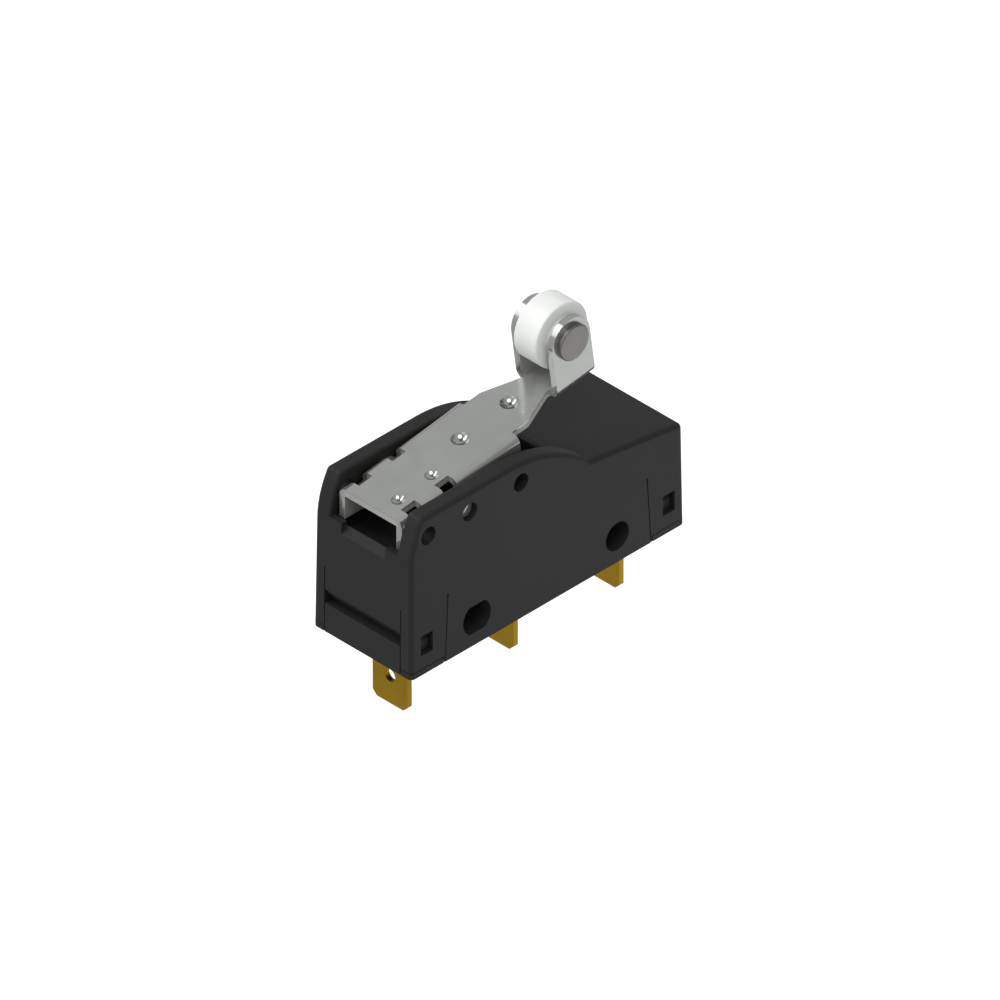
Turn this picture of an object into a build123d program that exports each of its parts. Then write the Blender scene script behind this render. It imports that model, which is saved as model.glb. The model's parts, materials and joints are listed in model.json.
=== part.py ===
from build123d import *
import os
from math import asin, atan, cos, degrees, radians, sin, sqrt, tan

# Large snap-action micro switch with a folded sheet lever and a roller.
# The origin is the middle of the round mounting hole, half way through the body.
# +X runs along the body towards its right end, +Y to the back face and +Z up.
# Sizes are millimetres. A name that ends in _z is a height above the body's bottom face.
# A name that ends in _x is a distance along the body, counted from slot_x left of the
# slotted hole. At the body's own length that is where its left end lies.

# Moulded housing, outside
body_length = 49.5
body_width = 17.8
cheek_top_z = 24.0
end_draft = 0.2
side_draft = 0.28
shoulder_z = 16.7
shoulder_radius = 14.2
shoulder_corner_radius = 0.7
hump_start_x = 18.0
hump_radius = 20.8
right_end_z = 15.67
right_corner_radius = 0.9
outer_edge_radius = 0.7

# Channel between the cheeks, open to the top
cheek_thickness = 2.8
channel_end_x = 29.66
channel_end_z = 18.46
channel_floor_z = 15.6
channel_lip_radius = 0.5
channel_rim_radius = 0.4
sill_thickness = 1.2
sill_z = 18.1
notch_width = 7.84
notch_z = 16.5

# Mounting holes across the body
hole_z = 4.0
hole_pitch = 25.4
hole_offset = 0.15
slot_x = 11.9
round_hole_diameter = 4.2
long_hole_length = 5.0
long_hole_height = 4.2
hole_tube_diameter = 6.8

# Pivot holes in the cheeks
pivot_hole_diameter = 2.6
pivot_hole_z = 20.95
pivot_x = 10.84
spare_hole_inset = 3.36
spare_hole_right_x = 20.04

# Corner tongues that snap over the base
tongue_slit = 0.16
tongue_foot_inset = 5.9
tongue_root_inset = 6.66
tongue_foot_z = 0.95
tongue_root_z = 10.1
end_slit_inset = 1.95
window_inset = 1.78
window_width = 2.14
window_z = 3.0
window_height = 3.0

# Grip groove across each end wall
groove_top_z = 6.8
groove_bottom_z = 4.43
groove_depth = 1.45

# Housing, inside
long_wall = 1.85
end_wall = 2.4
roof = 1.6
slope_wall = 1.85

# Base
base_thickness = 3.0
base_gap = 0.1
foot_height = 0.85
hook_recess = 0.8
hook_gap = 0.12
hook_post_depth = 1.2
hook_top_reach = 0.2
spring_spigot_height = 1.4
spring_spigot_gap = 0.1
spring_spigot_taper = 0.4

# Terminals
sheet = 0.8
tab_width = 6.3
tab_length = 10.4
tab_chamfer = 0.75
tab_hole_diameter = 1.9
tab_hole_from_tip = 4.35
common_x = 5.4
closed_terminal_from_hole = 6.5
shoulder_width = 8.0
slot_gap = 0.05
bend_radius = 0.8
contact_plane_z = 11.2
shelf_gap = 2.2
contact_x = 33.0
fixed_shelf_overhang = 1.5

# Moving contact arm
arm_seat_x = 13.8
arm_sheet = 0.4
arm_width = 8.0
arm_window_width = 4.4
arm_window_end_x = 28.6
arm_end_width = 5.0
arm_tip_overhang = 2.0
arm_taper_overhang = 0.5
arm_swing = 1.2
seat_depth = 0.4
seat_mouth = 0.7
seat_gap = 0.05
seat_wall_height = 1.0
contact_diameter = 3.0
contact_head = 0.8
contact_shank_diameter = 1.6
contact_tail_diameter = 2.25
contact_edge_radius = 0.3
contact_gap = 0.03
rivet_gap = 0.02

# Driver arm and the bracket that it tips on
bracket_x = 7.1
bracket_sheet = 0.6
bracket_foot_length = 4.4
bracket_width = 8.0
bracket_slot_width = 4.2
bracket_slot_floor_z = 10.2
driver_tip_x = 20.9
driver_width = 3.8
driver_head_width = 7.6
driver_head_length = 0.8
bracket_rivet_diameter = 1.2
bracket_rivet_head_diameter = 2.2
bracket_rivet_head = 0.4
bracket_rivet_from_face = 2.7
bracket_rivet_spread = 4.4

# Plunger
plunger_diameter = 5.0
plunger_fit = 0.05
plunger_collar_diameter = 6.4
plunger_collar_height = 1.0
plunger_foot_diameter = 3.0
plunger_edge_radius = 0.6
sleeve_wall = 1.2
sleeve_z = 18.5

# Springs
return_coil_diameter = 3.5
return_wire = 0.4
return_turns = 5
snap_coil_diameter = 2.1
snap_wire = 0.35
snap_turns = 8
snap_hook_length = 1.4
snap_hook_rise = 0.55
snap_hook_bend = 0.2
hook_hole_diameter = 0.9
hook_from_tip = 0.7

# Lever, in its own frame: lengths run along the plate from the pivot
lever_angle = 7.9
lever_travel = 8.0
lever_sheet = 1.0
lever_plate_height = 2.69
lever_end_inset = 1.585
lever_side_gap = 0.45
lever_fold_radius = 1.2
flange_bottom_z = 17.85
flange_flat_end = 2.5
flange_end = 12.35
flange_end_depth = 4.0
flange_corner_radius = 1.6
plate_half_width_at_neck = 2.27
taper_width = 8.7
taper_start = 15.27
neck_start = 20.7
notch_inner_width = 7.52
notch_length = 2.4
rear_notch = -6.08
notch_drop = 0.8
large_dimple_diameter = 2.6
large_dimple_depth = 0.7
plunger_dimple = 7.36
far_dimple = 16.3
small_dimple_diameter = 1.9
small_dimple_depth = 0.45
small_dimple_offset = 2.1
boss_diameter = 2.5
boss_reach = 2.2
boss_recess_diameter = 1.3
boss_edge_radius = 0.2

# Fork and roller
fork_width = 7.5
fork_length = 6.8
fork_fold_radius = 1.4
roller_centre = 24.7
roller_height = 9.38
roller_diameter = 9.5
roller_width = 4.0
roller_edge_radius = 0.6
hub_diameter = 5.2
hub_end_gap = 0.1
axle_diameter = 3.0
axle_head_diameter = 5.2
axle_head = 0.7
axle_fit = 0.05

# Places that follow from the sizes above
x_left = hole_offset - (hole_pitch + body_length) / 2
x_right = x_left + body_length
z_low = -hole_z
half_width = body_width / 2
inner_half_width = half_width - long_wall
channel_half_width = half_width - cheek_thickness
lever_width = 2 * (channel_half_width - lever_side_gap)

# Cutting shapes run past the faces that they cut by a wall's thickness
past = end_wall


def along(distance):
    """X of a place whose distance is counted from slot_x left of the slotted hole."""
    return distance - slot_x - hole_pitch


def inward(distance):
    """X of a place given from the body's left end itself."""
    return x_left + distance


def up(height):
    """Z of a place given from the body's bottom face."""
    return z_low + height


def slope_z(x):
    """Height above the bottom of the sloped top at a given X; it falls to right_end_z."""
    share = (x - along(channel_end_x)) / (x_right - along(channel_end_x))
    return channel_end_z + share * (right_end_z - channel_end_z)


def side_prism(points, width):
    """Solid with the given outline in side view, centred on the middle plane."""
    return extrude(Plane.XZ * make_face(Polyline(*points, close=True)), amount=width / 2, both=True)


def block(x_from, x_to, y_from, y_to, z_from, z_to):
    """Box between two corners, in the part's frame."""
    size = (x_to - x_from, y_to - y_from, z_to - z_from)
    centre = ((x_from + x_to) / 2, (y_from + y_to) / 2, (z_from + z_to) / 2)
    return Pos(*centre) * Box(*size)


def cross_pin(x, z, diameter, y_from, y_to):
    """Round bar along Y."""
    return Pos(x, (y_from + y_to) / 2, z) * Rot(90, 0, 0) * Cylinder(diameter / 2, abs(y_to - y_from))


def upright_pin(x, y, diameter, z_from, z_to):
    """Round bar along Z."""
    return Pos(x, y, (z_from + z_to) / 2) * Cylinder(diameter / 2, abs(z_to - z_from))


# Housing


def hump_end():
    """Where the hump's arc runs into the sloped top, as a distance and a height."""
    centre_x = hump_start_x
    centre_z = cheek_top_z - hump_radius
    top_slope = atan((channel_end_z - right_end_z) / (x_right - along(channel_end_x)))
    along_slope = (cos(top_slope), -sin(top_slope))
    off_slope = (sin(top_slope), cos(top_slope))
    from_line = (centre_x - channel_end_x) * off_slope[0] + (centre_z - channel_end_z) * off_slope[1]
    half_chord = sqrt(hump_radius**2 - from_line**2)
    hit_x = centre_x - from_line * off_slope[0] + half_chord * along_slope[0]
    hit_z = centre_z - from_line * off_slope[1] + half_chord * along_slope[1]
    return hit_x, hit_z


def housing_outline():
    """Side view: drafted ends, rounded left shoulder, level cheek, hump and sloped top."""
    shoulder_turn = degrees(asin((cheek_top_z - shoulder_z) / shoulder_radius))
    hump_stop_x, hump_stop_z = hump_end()
    hump_turn = degrees(asin((hump_stop_x - hump_start_x) / hump_radius))
    left_wall = Line((x_left, z_low), (inward(end_draft), up(shoulder_z)))
    shoulder_centre = (inward(end_draft + shoulder_radius), up(shoulder_z))
    shoulder = CenterArc(shoulder_centre, shoulder_radius, 180, -shoulder_turn)
    cheek = Line(shoulder @ 1, (along(hump_start_x), up(cheek_top_z)))
    hump = CenterArc((along(hump_start_x), up(cheek_top_z - hump_radius)), hump_radius, 90, -hump_turn)
    right_top = (x_right - end_draft, up(slope_z(x_right - end_draft)))
    top = Line(hump @ 1, right_top)
    right_wall = Line(right_top, (x_right, z_low))
    bottom = Line((x_right, z_low), (x_left, z_low))
    outline = make_face([left_wall, shoulder, cheek, hump, top, right_wall, bottom])
    left_corner = outline.vertices().sort_by_distance((shoulder @ 1))[0]
    outline = fillet(left_corner, shoulder_corner_radius)
    right_corner = outline.vertices().sort_by_distance((right_top[0], right_top[1], 0))[0]
    return fillet(right_corner, right_corner_radius)


def housing_block():
    """Solid outer form with drafted sides and rounded outer edges."""
    body = extrude(Plane.XZ * housing_outline(), amount=half_width, both=True)
    top_half_width = half_width - side_draft
    draft_section = Polygon(
        (-half_width, z_low),
        (half_width, z_low),
        (top_half_width, up(cheek_top_z)),
        (-top_half_width, up(cheek_top_z)),
        align=None,
    )
    body = body & extrude(Plane.YZ.offset(x_left - past) * draft_section, amount=body_length + 2 * past)
    above_bottom = z_low + base_thickness
    rims = body.edges().filter_by(
        lambda edge: abs(edge.center().Y) > inner_half_width and edge.center().Z > above_bottom
    )
    return fillet(rims, outer_edge_radius)


def channel_space():
    """Air between the cheeks: the channel, the part above the sloped top, and the low end sill."""
    over = cheek_top_z + past
    space = side_prism(
        [
            (inward(sill_thickness), up(channel_floor_z)),
            (along(channel_end_x), up(channel_floor_z)),
            (along(channel_end_x), up(channel_end_z)),
            (x_right, up(right_end_z)),
            (x_right, up(over)),
            (x_left - past, up(over)),
            (x_left - past, up(sill_z)),
            (inward(sill_thickness), up(sill_z)),
        ],
        2 * channel_half_width,
    )
    ramp_end = sill_thickness + past
    ramp = side_prism(
        [
            (x_left - past, up(notch_z - end_draft - past)),
            (inward(ramp_end), up(notch_z - end_draft + ramp_end)),
            (inward(ramp_end), up(over)),
            (x_left - past, up(over)),
        ],
        notch_width,
    )
    return space + ramp


def inner_space():
    """Chamber for the switching parts, under the roof and the sloped top."""
    step = along(channel_end_x + roof)
    wall = x_right - end_wall
    return side_prism(
        [
            (inward(end_wall), z_low - past),
            (inward(end_wall), up(channel_floor_z - roof)),
            (step, up(channel_floor_z - roof)),
            (step, up(slope_z(step) - slope_wall)),
            (wall, up(slope_z(wall) - slope_wall)),
            (wall, z_low - past),
        ],
        2 * inner_half_width,
    )


def long_hole():
    """Mounting hole whose round sides are cut off level at top and bottom."""
    section = Circle(long_hole_length / 2) & Rectangle(long_hole_length, long_hole_height)
    hole = extrude(Plane.XZ * section, amount=half_width + past, both=True)
    return Pos(-hole_pitch, 0, 0) * hole


def tongue_cuts():
    """Slits and snap window of the tongue at the left front corner."""
    out = half_width + past
    wall_in = inner_half_width - past
    slit = side_prism(
        [
            (inward(tongue_foot_inset), z_low - past),
            (inward(tongue_foot_inset + tongue_slit), z_low - past),
            (inward(tongue_root_inset + tongue_slit), up(tongue_root_z)),
            (inward(tongue_root_inset), up(tongue_root_z)),
        ],
        2 * out,
    )
    slit_end = cross_pin(
        inward(tongue_root_inset + tongue_slit / 2), up(tongue_root_z), 2 * tongue_slit, -out, out
    )
    front_only = block(x_left, x_right, -out, -wall_in, z_low - past, up(cheek_top_z))
    side_slit = (slit + slit_end) & front_only
    inset = half_width - end_slit_inset
    end_slit = block(
        x_left - past,
        inward(end_wall + past),
        -inset,
        -inset + tongue_slit,
        z_low - past,
        up(tongue_root_z),
    )
    foot_room = block(
        x_left - past,
        inward(tongue_foot_inset + tongue_slit / 2),
        -out,
        -inset + tongue_slit / 2,
        z_low - past,
        up(tongue_foot_z),
    )
    window = block(
        inward(window_inset),
        inward(window_inset + window_width),
        -out,
        -wall_in,
        up(window_z),
        up(window_z + window_height),
    )
    return side_slit + end_slit + foot_room + window


def grip_groove():
    """Groove across the left end wall between the two end slits."""
    reach = body_width - 2 * end_slit_inset
    return side_prism(
        [
            (x_left - past, up(groove_top_z + past)),
            (x_left, up(groove_top_z)),
            (inward(groove_depth), up(groove_bottom_z)),
            (x_left - past, up(groove_bottom_z)),
        ],
        reach,
    )


def on_both_ends(shape):
    """The shape at the left end and its mirror image at the right end."""
    middle = (x_left + x_right) / 2
    return shape + mirror(shape, Plane.YZ.offset(middle))


def on_both_faces(shape):
    """The shape at the front and its mirror image at the back."""
    return shape + mirror(shape, Plane.XZ)


def upper_housing():
    """Black moulded housing with cheeks, channel, mounting tubes and corner tongues."""
    housing = housing_block() - channel_space()
    lip = housing.edges().filter_by(Axis.Y).sort_by_distance(
        (along(channel_end_x), 0, up(channel_end_z))
    )[0]
    housing = fillet(lip, channel_lip_radius)
    rims = housing.edges().filter_by(
        lambda edge: abs(abs(edge.center().Y) - channel_half_width) < contact_gap
        and edge.center().Z > up(sill_z + past)
    )
    housing = fillet(rims, channel_rim_radius)
    plunger_place = plunger_x()
    sleeve_diameter = plunger_diameter + 2 * sleeve_wall
    sleeve = upright_pin(plunger_place, 0, sleeve_diameter, up(channel_floor_z - roof), up(sleeve_z))
    housing = housing - inner_space() + sleeve
    bore = plunger_diameter + 2 * plunger_fit
    housing = housing - upright_pin(
        plunger_place, 0, bore, up(channel_floor_z - 2 * roof), up(sleeve_z + past)
    )
    in_wall = half_width - long_wall / 2
    for x in (0, -hole_pitch):
        housing = housing + cross_pin(x, 0, hole_tube_diameter, -in_wall, in_wall)
    housing = housing - cross_pin(0, 0, round_hole_diameter, -half_width - past, half_width + past)
    housing = housing - long_hole()
    for x in (inward(spare_hole_inset), along(pivot_x), along(spare_hole_right_x)):
        housing = housing - cross_pin(
            x, up(pivot_hole_z), pivot_hole_diameter, -half_width - past, half_width + past
        )
    housing = housing - on_both_ends(on_both_faces(tongue_cuts()))
    return housing - on_both_ends(grip_groove())


# Base


def base_hook():
    """Snap hook and its post at the left front corner."""
    post_in = inner_half_width - base_gap
    hook_out = half_width - hook_recess
    hook_left = inward(window_inset + hook_gap)
    hook_right = inward(window_inset + window_width - hook_gap)
    hook_low = up(window_z + hook_gap)
    hook_high = up(window_z + window_height - hook_gap)
    post = block(
        inward(end_wall + base_gap), hook_right, -post_in, -post_in + hook_post_depth, z_low, hook_high
    )
    face = Polygon(
        (-post_in + hook_post_depth, hook_low),
        (-hook_out, hook_low),
        (-hook_out, hook_low + window_height / 2),
        (-inner_half_width - hook_top_reach, hook_high),
        (-post_in + hook_post_depth, hook_high),
        align=None,
    )
    middle = (hook_left + hook_right) / 2
    lug = extrude(Plane.YZ.offset(middle) * face, amount=(hook_right - hook_left) / 2, both=True)
    beside_wall = block(
        x_left,
        inward(end_wall + base_gap),
        -inner_half_width,
        inner_half_width,
        z_low,
        up(window_z + window_height),
    )
    return post + (lug - beside_wall)


def base_foot():
    """Corner foot under the left front tongue, flush with the housing."""
    inset = half_width - end_slit_inset
    foot = block(
        x_left, inward(tongue_foot_inset - base_gap), -half_width, -inset, z_low, up(foot_height)
    )
    corner = foot.edges().filter_by(Axis.Z).sort_by_distance((x_left, -half_width, z_low))[0]
    foot = fillet(corner, outer_edge_radius)
    bridge = block(
        inward(end_wall + base_gap),
        inward(tongue_foot_inset - base_gap),
        -inset - base_gap,
        -inner_half_width + hook_post_depth,
        z_low,
        up(foot_height),
    )
    return foot + bridge


def base_plate():
    """Black moulded base with terminal slots, saddles under the tubes, feet and hooks."""
    reach = inner_half_width - base_gap
    base = block(
        inward(end_wall + base_gap),
        x_right - end_wall - base_gap,
        -reach,
        reach,
        z_low,
        up(base_thickness),
    )
    base = base + on_both_ends(on_both_faces(base_foot() + base_hook()))
    saddle = hole_tube_diameter + 2 * base_gap
    for x in (0, -hole_pitch):
        base = base - cross_pin(x, 0, saddle, -half_width, half_width)
    for x in terminal_places():
        half_slot = sheet / 2 + slot_gap
        half_reach = tab_width / 2 + slot_gap
        base = base - block(
            x - half_slot, x + half_slot, -half_reach, half_reach, z_low - past, up(base_thickness + past)
        )
    foot_radius = return_coil_diameter / 2 - return_wire - spring_spigot_gap
    spigot = Pos(plunger_x(), 0, up(base_thickness + spring_spigot_height / 2)) * Cone(
        foot_radius, foot_radius - spring_spigot_taper, spring_spigot_height
    )
    return base + spigot


# Terminals and fixed contacts


def terminal_places():
    """X of the common, normally open and normally closed terminals."""
    first = along(common_x)
    last = closed_terminal_from_hole
    return [first, (first + last) / 2, last]


def bent_sheet(points, width, thickness, radius):
    """Sheet strip that follows a path in side view, with rounded bends."""
    path = FilletPolyline(*points, radius=radius)
    return extrude(Plane.XZ * trace(path, thickness), amount=width / 2, both=True)


def with_tab(strip, x):
    """Trim a terminal strip below the base's top to a tab with a chamfered tip and a hole."""
    tip = z_low - tab_length
    keep = block(
        x - sheet, x + sheet, -tab_width / 2, tab_width / 2, tip - past, up(base_thickness + sheet)
    )
    shoulder = block(x_left, x_right, -body_width, body_width, up(base_thickness), up(cheek_top_z))
    strip = strip & (keep + shoulder)
    tip_edges = strip.edges().filter_by(Axis.X).group_by(Axis.Z)[0]
    strip = chamfer(tip_edges, tab_chamfer)
    hole = Pos(x, 0, tip + tab_hole_from_tip) * Rot(0, 90, 0) * Cylinder(tab_hole_diameter / 2, 2 * sheet)
    return strip - hole


def seat_groove(x, pointing):
    """Vee groove along Y in an upright face at x, cut in the given direction."""
    z = up(contact_plane_z)
    return side_prism(
        [
            (x - contact_gap * pointing, z - seat_mouth / 2),
            (x + seat_depth * pointing, z),
            (x - contact_gap * pointing, z + seat_mouth / 2),
        ],
        body_width,
    )


def common_terminal():
    """Brass strip with its tab, a shelf and two upright ears that seat the contact arm."""
    x = terminal_places()[0]
    shelf = up(contact_plane_z - shelf_gap) - sheet / 2
    ear = along(arm_seat_x) - sheet / 2
    ear_top = up(contact_plane_z + seat_wall_height)
    tip = z_low - tab_length
    route = [(x, tip), (x, shelf), (ear, shelf), (ear, ear_top)]
    strip = bent_sheet(route, shoulder_width, sheet, bend_radius)
    strip = with_tab(strip, x)
    gap = block(
        ear - 2 * sheet,
        ear + 2 * sheet,
        -arm_window_width / 2,
        arm_window_width / 2,
        shelf + sheet,
        ear_top + past,
    )
    strip = strip - gap - seat_groove(along(arm_seat_x), -1)
    for y in (-bracket_rivet_spread / 2, bracket_rivet_spread / 2):
        strip = strip - bracket_rivet_hole(y)
    return strip


def fixed_terminal(x, shelf, reach):
    """Brass strip with its tab and a shelf that carries a fixed contact."""
    tip = z_low - tab_length
    strip = bent_sheet([(x, tip), (x, shelf), (reach, shelf)], shoulder_width, sheet, bend_radius)
    strip = with_tab(strip, x)
    shank = contact_shank_diameter + 2 * rivet_gap
    return strip - upright_pin(along(contact_x), 0, shank, shelf - sheet, shelf + sheet)


def open_shelf():
    """Middle height of the normally open shelf, below the moving contact."""
    return up(contact_plane_z - shelf_gap) - sheet / 2


def closed_shelf():
    """Middle height of the normally closed shelf, above the moving contact."""
    return up(contact_plane_z + shelf_gap) + sheet / 2


def normally_open_terminal():
    return fixed_terminal(terminal_places()[1], open_shelf(), along(contact_x + fixed_shelf_overhang))


def normally_closed_terminal():
    return fixed_terminal(terminal_places()[2], closed_shelf(), along(contact_x - fixed_shelf_overhang))


def fixed_contact(shelf, side):
    """Contact rivet whose head faces the moving contact; side is +1 for a head on top."""
    swing = (along(contact_x) - arm_pivot_x()) * sin(radians(arm_swing))
    moving_face = swing + arm_sheet / 2 + contact_head
    head = shelf_gap - moving_face - contact_gap
    x = along(contact_x)
    face = shelf + side * (sheet / 2 + head)
    seat = shelf + side * sheet / 2
    tail = shelf - side * sheet / 2
    rivet = upright_pin(x, 0, contact_diameter, seat, face)
    rim = rivet.edges().filter_by(GeomType.CIRCLE).sort_by_distance((x, 0, face))[0]
    rivet = fillet(rim, contact_edge_radius)
    rivet = rivet + upright_pin(x, 0, contact_shank_diameter, seat, tail)
    return rivet + upright_pin(x, 0, contact_tail_diameter, tail, tail - side * bracket_rivet_head)


def normally_open_contact():
    return fixed_contact(open_shelf(), 1)


def normally_closed_contact():
    return fixed_contact(closed_shelf(), -1)


# Driver bracket


def bracket_rivet_hole(y):
    """Round cut through the bracket's foot and the shelf under it."""
    hole = bracket_rivet_diameter + 2 * rivet_gap
    seat = up(contact_plane_z - shelf_gap)
    return upright_pin(along(bracket_x + bracket_rivet_from_face), y, hole, seat - past, seat + past)


def driver_bracket():
    """Angle bracket on the common shelf, with a slot for the driver arm and two seats."""
    floor = up(contact_plane_z - shelf_gap)
    middle = bracket_sheet / 2
    upright = along(bracket_x) + middle
    top = up(contact_plane_z + seat_wall_height)
    foot_end = along(bracket_x + bracket_foot_length)
    bracket = bent_sheet(
        [(foot_end, floor + middle), (upright, floor + middle), (upright, top)],
        bracket_width,
        bracket_sheet,
        bend_radius,
    )
    slot = block(
        upright - bracket_sheet,
        upright + bracket_sheet,
        -bracket_slot_width / 2,
        bracket_slot_width / 2,
        up(bracket_slot_floor_z),
        top + past,
    )
    bracket = bracket - slot - seat_groove(along(bracket_x), 1)
    for y in (-bracket_rivet_spread / 2, bracket_rivet_spread / 2):
        bracket = bracket - bracket_rivet_hole(y)
    return bracket


def bracket_rivets():
    """Two rivets through the bracket's foot and the shelf."""
    x = along(bracket_x + bracket_rivet_from_face)
    top = up(contact_plane_z - shelf_gap) + bracket_sheet
    bottom = up(contact_plane_z - shelf_gap) - sheet
    rivets = []
    for y in (-bracket_rivet_spread / 2, bracket_rivet_spread / 2):
        rivet = upright_pin(x, y, bracket_rivet_diameter, bottom, top)
        rivet = rivet + upright_pin(x, y, bracket_rivet_head_diameter, top, top + bracket_rivet_head)
        rivet = rivet + upright_pin(x, y, bracket_rivet_head_diameter, bottom - bracket_rivet_head, bottom)
        rivets.append(rivet)
    return Compound(children=rivets)


# Moving arms


def arm_pivot_x():
    """X of the contact arm's tipping edge, just clear of the bottom of its seat."""
    return along(arm_seat_x) - seat_depth + seat_gap


def driver_pivot_x():
    """X of the driver arm's tipping edge."""
    return along(bracket_x) + seat_depth - seat_gap


def knife_edge(x, pointing, thickness):
    """Wedge along Y that comes to an edge at x; pointing is the way that the edge faces."""
    z = up(contact_plane_z)
    back = x - pointing * seat_depth
    return side_prism([(x, z), (back, z + thickness / 2), (back, z - thickness / 2)], body_width)


def tipped(shape, pivot, angle):
    """The shape turned about the line along Y through the pivot; positive lifts the right end."""
    place = Pos(pivot, 0, up(contact_plane_z))
    return place * Rot(0, -angle, 0) * place.inverse() * shape


def contact_arm():
    """Springy copper frame that tips in the ears of the common terminal."""
    edge = arm_pivot_x()
    z = up(contact_plane_z)
    tip = along(contact_x + arm_tip_overhang)
    taper_end = along(contact_x + arm_taper_overhang)
    window_end = along(arm_window_end_x)
    rails = block(
        edge + seat_depth, tip, -arm_width / 2, arm_width / 2, z - arm_sheet / 2, z + arm_sheet / 2
    )
    outside = Polygon(
        (edge - past, -arm_width / 2),
        (window_end, -arm_width / 2),
        (taper_end, -arm_end_width / 2),
        (tip, -arm_end_width / 2),
        (tip, arm_end_width / 2),
        (taper_end, arm_end_width / 2),
        (window_end, arm_width / 2),
        (edge - past, arm_width / 2),
        align=None,
    )
    wedge = knife_edge(edge, -1, arm_sheet)
    arm = (rails + wedge) & extrude(Plane.XY.offset(z) * outside, amount=past, both=True)
    window = block(
        edge - past, window_end, -arm_window_width / 2, arm_window_width / 2, z - past, z + past
    )
    arm = arm - window
    shank_hole = contact_shank_diameter + 2 * rivet_gap
    arm = arm - upright_pin(along(contact_x), 0, shank_hole, z - past, z + past)
    arm = arm - upright_pin(arm_hook_x(), 0, hook_hole_diameter, z - past, z + past)
    return tipped(arm, edge, arm_swing)


def moving_contact():
    """Contact rivet with a face on both sides of the arm."""
    x = along(contact_x)
    z = up(contact_plane_z)
    rivet = upright_pin(x, 0, contact_shank_diameter, z - arm_sheet, z + arm_sheet)
    for side in (-1, 1):
        seat = z + side * arm_sheet / 2
        face = seat + side * contact_head
        head = upright_pin(x, 0, contact_diameter, seat, face)
        rim = head.edges().filter_by(GeomType.CIRCLE).sort_by_distance((x, 0, face))[0]
        rivet = rivet + fillet(rim, contact_edge_radius)
    return tipped(rivet, arm_pivot_x(), arm_swing)


def driver_arm():
    """Springy strip with a broad head that tips in the bracket and is pressed by the plunger."""
    edge = driver_pivot_x()
    z = up(contact_plane_z)
    low = z - arm_sheet / 2
    high = z + arm_sheet / 2
    head_end = edge - seat_depth - driver_head_length
    strip = block(head_end, along(driver_tip_x), -driver_width / 2, driver_width / 2, low, high)
    head = block(
        head_end,
        edge - seat_depth,
        -driver_head_width / 2,
        driver_head_width / 2,
        low,
        high,
    )
    slot_side = bracket_slot_width / 2 + slot_gap
    wedges = knife_edge(edge, 1, arm_sheet) & block(
        edge - past, edge + past, slot_side, driver_head_width / 2, low - past, high + past
    )
    strip = strip + head + on_both_faces(wedges)
    strip = strip - upright_pin(driver_hook_x(), 0, hook_hole_diameter, low - past, high + past)
    return tipped(strip, edge, driver_tip_angle())


# Plunger


def plunger_x():
    """X of the plunger's axis, under the dimple that presses it."""
    underside = lever_plate_height - lever_sheet - large_dimple_depth
    return on_lever(plunger_dimple, underside)[0]


def plunger_top():
    """Height of the plunger's top at rest, just under the lever's dimple."""
    return up(pivot_hole_z) + dimple_drop(lever_angle) - contact_gap


def dimple_drop(angle):
    """Height over the pivot of the large dimple's lowest point, with the lever at an angle."""
    ball = dimple_ball(large_dimple_diameter, large_dimple_depth)
    ball_height = lever_plate_height - lever_sheet - large_dimple_depth + ball
    turn = radians(angle)
    return plunger_dimple * sin(turn) + ball_height * cos(turn) - ball


def plunger_travel():
    """How far the dimple moves down as the lever turns through its travel."""
    return dimple_drop(lever_angle) - dimple_drop(lever_angle - lever_travel)


def driver_tip_angle():
    """Rest angle of the driver arm; it ends its travel as far below level as it starts above."""
    return degrees(atan(plunger_travel() / 2 / (plunger_x() - driver_pivot_x())))


def plunger():
    """Round moulded button with a collar under the roof and a domed foot on the driver arm."""
    x = plunger_x()
    angle = radians(driver_tip_angle())
    driver_top = up(contact_plane_z) + (x - driver_pivot_x()) * tan(angle) + arm_sheet / 2 / cos(angle)
    bottom = driver_top + contact_gap
    top = plunger_top()
    ceiling = up(channel_floor_z - roof)
    stem = upright_pin(x, 0, plunger_diameter, ceiling - plunger_collar_height, top)
    rim = stem.edges().filter_by(GeomType.CIRCLE).sort_by_distance((x, 0, top))[0]
    button = fillet(rim, plunger_edge_radius)
    collar_top = ceiling - contact_gap
    collar_low = collar_top - plunger_collar_height
    button = button + upright_pin(x, 0, plunger_collar_diameter, collar_low, collar_top)
    dome_radius = plunger_foot_diameter
    foot = upright_pin(x, 0, plunger_foot_diameter, bottom, collar_low)
    foot = foot & (Pos(x, 0, bottom + dome_radius) * Sphere(dome_radius))
    return button + foot


# Springs


def coil(diameter, wire, turns, length):
    """Helical coil that stands on Z=0, its ends ground flat."""
    pitch = (length + wire) / turns
    path = Helix(pitch, length + wire, (diameter - wire) / 2)
    section = Plane(origin=path @ 0, z_dir=path % 0) * Circle(wire / 2)
    spring = sweep(section, path, is_frenet=True)
    return (Pos(0, 0, -wire / 2) * spring) & Pos(0, 0, length / 2) * Cylinder(diameter, length)


def return_spring():
    """Compression coil between the base and the driver arm, under the plunger."""
    angle = radians(driver_tip_angle())
    near_edge = plunger_x() - return_coil_diameter / 2 - driver_pivot_x()
    underside = up(contact_plane_z) + near_edge * tan(angle) - arm_sheet / 2 / cos(angle)
    length = underside - contact_gap - up(base_thickness)
    spring = coil(return_coil_diameter, return_wire, return_turns, length)
    return Pos(plunger_x(), 0, up(base_thickness)) * spring


def driver_hook_x():
    return along(driver_tip_x - hook_from_tip)


def arm_hook_x():
    return along(arm_window_end_x + hook_from_tip)


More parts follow.
